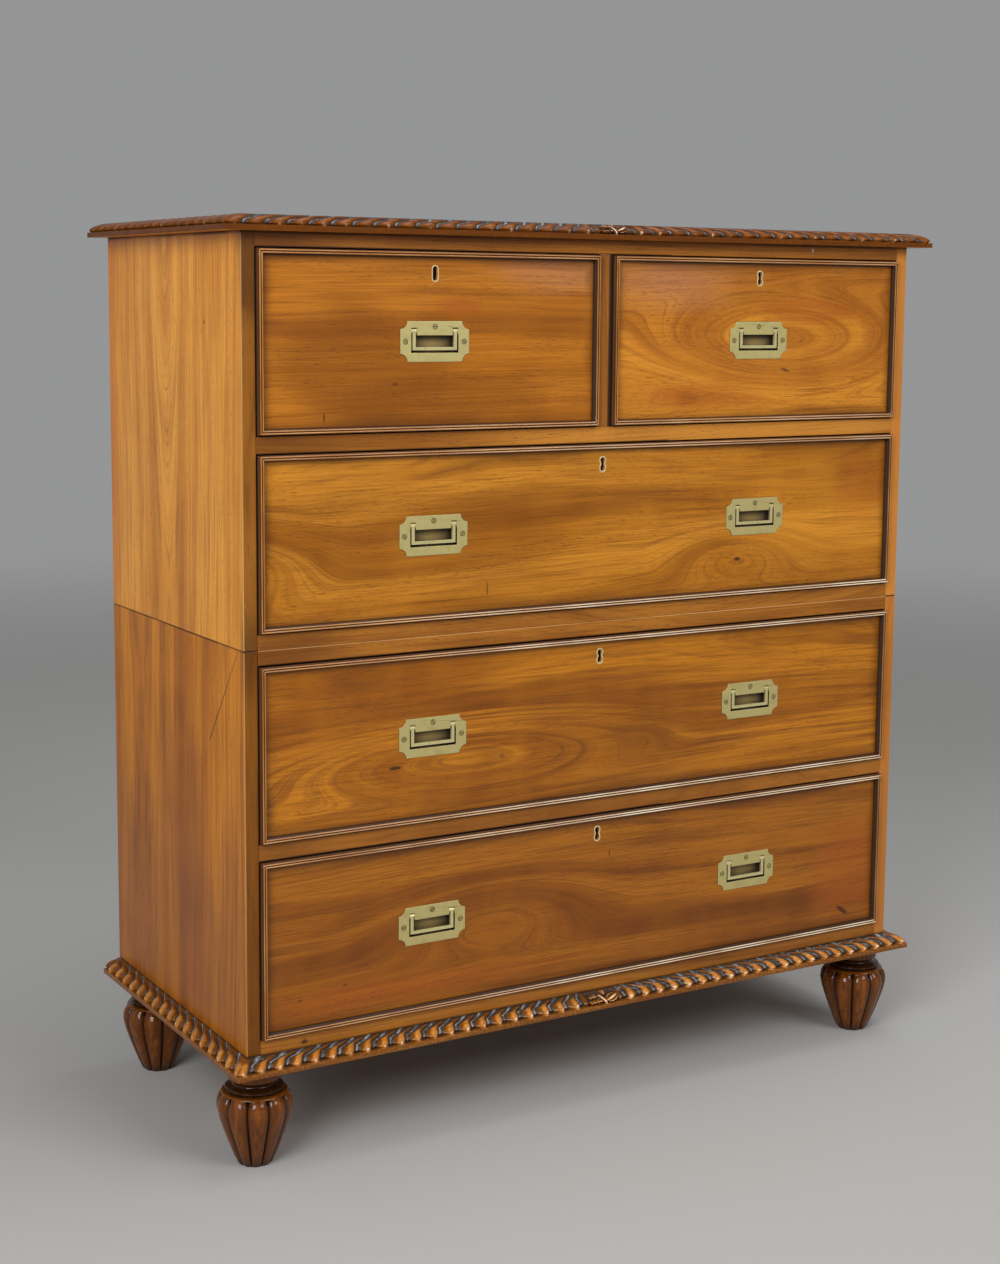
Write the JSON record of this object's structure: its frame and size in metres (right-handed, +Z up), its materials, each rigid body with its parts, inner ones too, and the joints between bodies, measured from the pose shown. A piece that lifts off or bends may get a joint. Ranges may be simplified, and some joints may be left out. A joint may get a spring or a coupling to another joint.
{
  "type": "campaign chest",
  "caption": "Campaign chest of drawers in two stacked cases on turned lobed feet, with rope-carved edges, sunk brass handles and drawer locks.",
  "frame": {"origin": "on the floor, in the middle of the overall box", "axes": "+Z up, front towards -Y, width along X, so the drawers open towards -Y"},
  "size_m": [1.0548, 0.4594, 1.1465],
  "materials": {
    "side_wood": "polished, golden brown",
    "rail_wood": "polished, golden brown",
    "front_wood": "polished, orange brown",
    "carved_wood": "polished, dark red brown",
    "inner_wood": "bare, sawn and planed",
    "handle_brass": "dull polished",
    "lock_brass": "tarnished"
  },
  "bodies": {
    "lower_case": {"lower_side_left": "side_wood", "lower_side_right": "side_wood", "lower_back": "inner_wood", "lower_floor": "rail_wood", "lower_dustboard": "rail_wood", "lower_top_frame": "rail_wood", "base_moulding": "carved_wood", "foot_front_left": "carved_wood", "foot_front_right": "carved_wood", "foot_back_left": "carved_wood", "foot_back_right": "carved_wood"},
    "upper_case": {"upper_side_left": "side_wood", "upper_side_right": "side_wood", "upper_back": "inner_wood", "upper_floor": "rail_wood", "upper_dustboard": "rail_wood", "upper_top_rail": "rail_wood", "upper_divider": "rail_wood", "top_board": "carved_wood"},
    "bottom_drawer": {"bottom_drawer_front": "front_wood", "bottom_drawer_bead": "carved_wood", "bottom_drawer_box": "inner_wood", "bottom_drawer_lock": "lock_brass", "bottom_drawer_left_handle_plate": "handle_brass", "bottom_drawer_right_handle_plate": "handle_brass"},
    "bottom_drawer_bolt": {"bottom_drawer_bolt": "lock_brass"},
    "bottom_drawer_left_handle_bail": {"bottom_drawer_left_handle_bail": "handle_brass"},
    "bottom_drawer_right_handle_bail": {"bottom_drawer_right_handle_bail": "handle_brass"},
    "third_drawer": {"third_drawer_front": "front_wood", "third_drawer_bead": "carved_wood", "third_drawer_box": "inner_wood", "third_drawer_lock": "lock_brass", "third_drawer_left_handle_plate": "handle_brass", "third_drawer_right_handle_plate": "handle_brass"},
    "third_drawer_bolt": {"third_drawer_bolt": "lock_brass"},
    "third_drawer_left_handle_bail": {"third_drawer_left_handle_bail": "handle_brass"},
    "third_drawer_right_handle_bail": {"third_drawer_right_handle_bail": "handle_brass"},
    "second_drawer": {"second_drawer_front": "front_wood", "second_drawer_bead": "carved_wood", "second_drawer_box": "inner_wood", "second_drawer_lock": "lock_brass", "second_drawer_left_handle_plate": "handle_brass", "second_drawer_right_handle_plate": "handle_brass"},
    "second_drawer_bolt": {"second_drawer_bolt": "lock_brass"},
    "second_drawer_left_handle_bail": {"second_drawer_left_handle_bail": "handle_brass"},
    "second_drawer_right_handle_bail": {"second_drawer_right_handle_bail": "handle_brass"},
    "top_left_drawer": {"top_left_drawer_front": "front_wood", "top_left_drawer_bead": "carved_wood", "top_left_drawer_box": "inner_wood", "top_left_drawer_lock": "lock_brass", "top_left_drawer_handle_plate": "handle_brass"},
    "top_left_drawer_bolt": {"top_left_drawer_bolt": "lock_brass"},
    "top_left_drawer_handle_bail": {"top_left_drawer_handle_bail": "handle_brass"},
    "top_right_drawer": {"top_right_drawer_front": "front_wood", "top_right_drawer_bead": "carved_wood", "top_right_drawer_box": "inner_wood", "top_right_drawer_lock": "lock_brass", "top_right_drawer_handle_plate": "handle_brass"},
    "top_right_drawer_bolt": {"top_right_drawer_bolt": "lock_brass"},
    "top_right_drawer_handle_bail": {"top_right_drawer_handle_bail": "handle_brass"}
  },
  "joints": [
    {"name": "upper_case_lift", "type": "slide", "parent": "lower_case", "child": "upper_case", "axis": [0, 0, 1], "range_m": [0, 0.12]},
    {"name": "bottom_drawer_slide", "type": "slide", "parent": "lower_case", "child": "bottom_drawer", "axis": [0, -1, 0], "range_m": [0, 0.33]},
    {"name": "bottom_drawer_bolt_throw", "type": "slide", "parent": "bottom_drawer", "child": "bottom_drawer_bolt", "axis": [0, 0, 1], "range_m": [0, 0.008]},
    {"name": "bottom_drawer_left_handle_swing", "type": "hinge", "parent": "bottom_drawer", "child": "bottom_drawer_left_handle_bail", "pos_m": [-0.2465, -0.20025, 0.28825], "axis": [-1, 0, 0], "range_deg": [0, 90]},
    {"name": "bottom_drawer_right_handle_swing", "type": "hinge", "parent": "bottom_drawer", "child": "bottom_drawer_right_handle_bail", "pos_m": [0.2465, -0.20025, 0.28825], "axis": [-1, 0, 0], "range_deg": [0, 90]},
    {"name": "third_drawer_slide", "type": "slide", "parent": "lower_case", "child": "third_drawer", "axis": [0, -1, 0], "range_m": [0, 0.33]},
    {"name": "third_drawer_bolt_throw", "type": "slide", "parent": "third_drawer", "child": "third_drawer_bolt", "axis": [0, 0, 1], "range_m": [0, 0.008]},
    {"name": "third_drawer_left_handle_swing", "type": "hinge", "parent": "third_drawer", "child": "third_drawer_left_handle_bail", "pos_m": [-0.2465, -0.20025, 0.52725], "axis": [-1, 0, 0], "range_deg": [0, 90]},
    {"name": "third_drawer_right_handle_swing", "type": "hinge", "parent": "third_drawer", "child": "third_drawer_right_handle_bail", "pos_m": [0.2465, -0.20025, 0.52725], "axis": [-1, 0, 0], "range_deg": [0, 90]},
    {"name": "second_drawer_slide", "type": "slide", "parent": "upper_case", "child": "second_drawer", "axis": [0, -1, 0], "range_m": [0, 0.33]},
    {"name": "second_drawer_bolt_throw", "type": "slide", "parent": "second_drawer", "child": "second_drawer_bolt", "axis": [0, 0, 1], "range_m": [0, 0.008]},
    {"name": "second_drawer_left_handle_swing", "type": "hinge", "parent": "second_drawer", "child": "second_drawer_left_handle_bail", "pos_m": [-0.2465, -0.20025, 0.778], "axis": [-1, 0, 0], "range_deg": [0, 90]},
    {"name": "second_drawer_right_handle_swing", "type": "hinge", "parent": "second_drawer", "child": "second_drawer_right_handle_bail", "pos_m": [0.2465, -0.20025, 0.778], "axis": [-1, 0, 0], "range_deg": [0, 90]},
    {"name": "top_left_drawer_slide", "type": "slide", "parent": "upper_case", "child": "top_left_drawer", "axis": [0, -1, 0], "range_m": [0, 0.33]},
    {"name": "top_left_drawer_bolt_throw", "type": "slide", "parent": "top_left_drawer", "child": "top_left_drawer_bolt", "axis": [0, 0, 1], "range_m": [0, 0.008]},
    {"name": "top_left_drawer_handle_swing", "type": "hinge", "parent": "top_left_drawer", "child": "top_left_drawer_handle_bail", "pos_m": [-0.24585, -0.20025, 1.01325], "axis": [-1, 0, 0], "range_deg": [0, 90]},
    {"name": "top_right_drawer_slide", "type": "slide", "parent": "upper_case", "child": "top_right_drawer", "axis": [0, -1, 0], "range_m": [0, 0.33]},
    {"name": "top_right_drawer_bolt_throw", "type": "slide", "parent": "top_right_drawer", "child": "top_right_drawer_bolt", "axis": [0, 0, 1], "range_m": [0, 0.008]},
    {"name": "top_right_drawer_handle_swing", "type": "hinge", "parent": "top_right_drawer", "child": "top_right_drawer_handle_bail", "pos_m": [0.24585, -0.20025, 1.01325], "axis": [-1, 0, 0], "range_deg": [0, 90]}
  ]
}
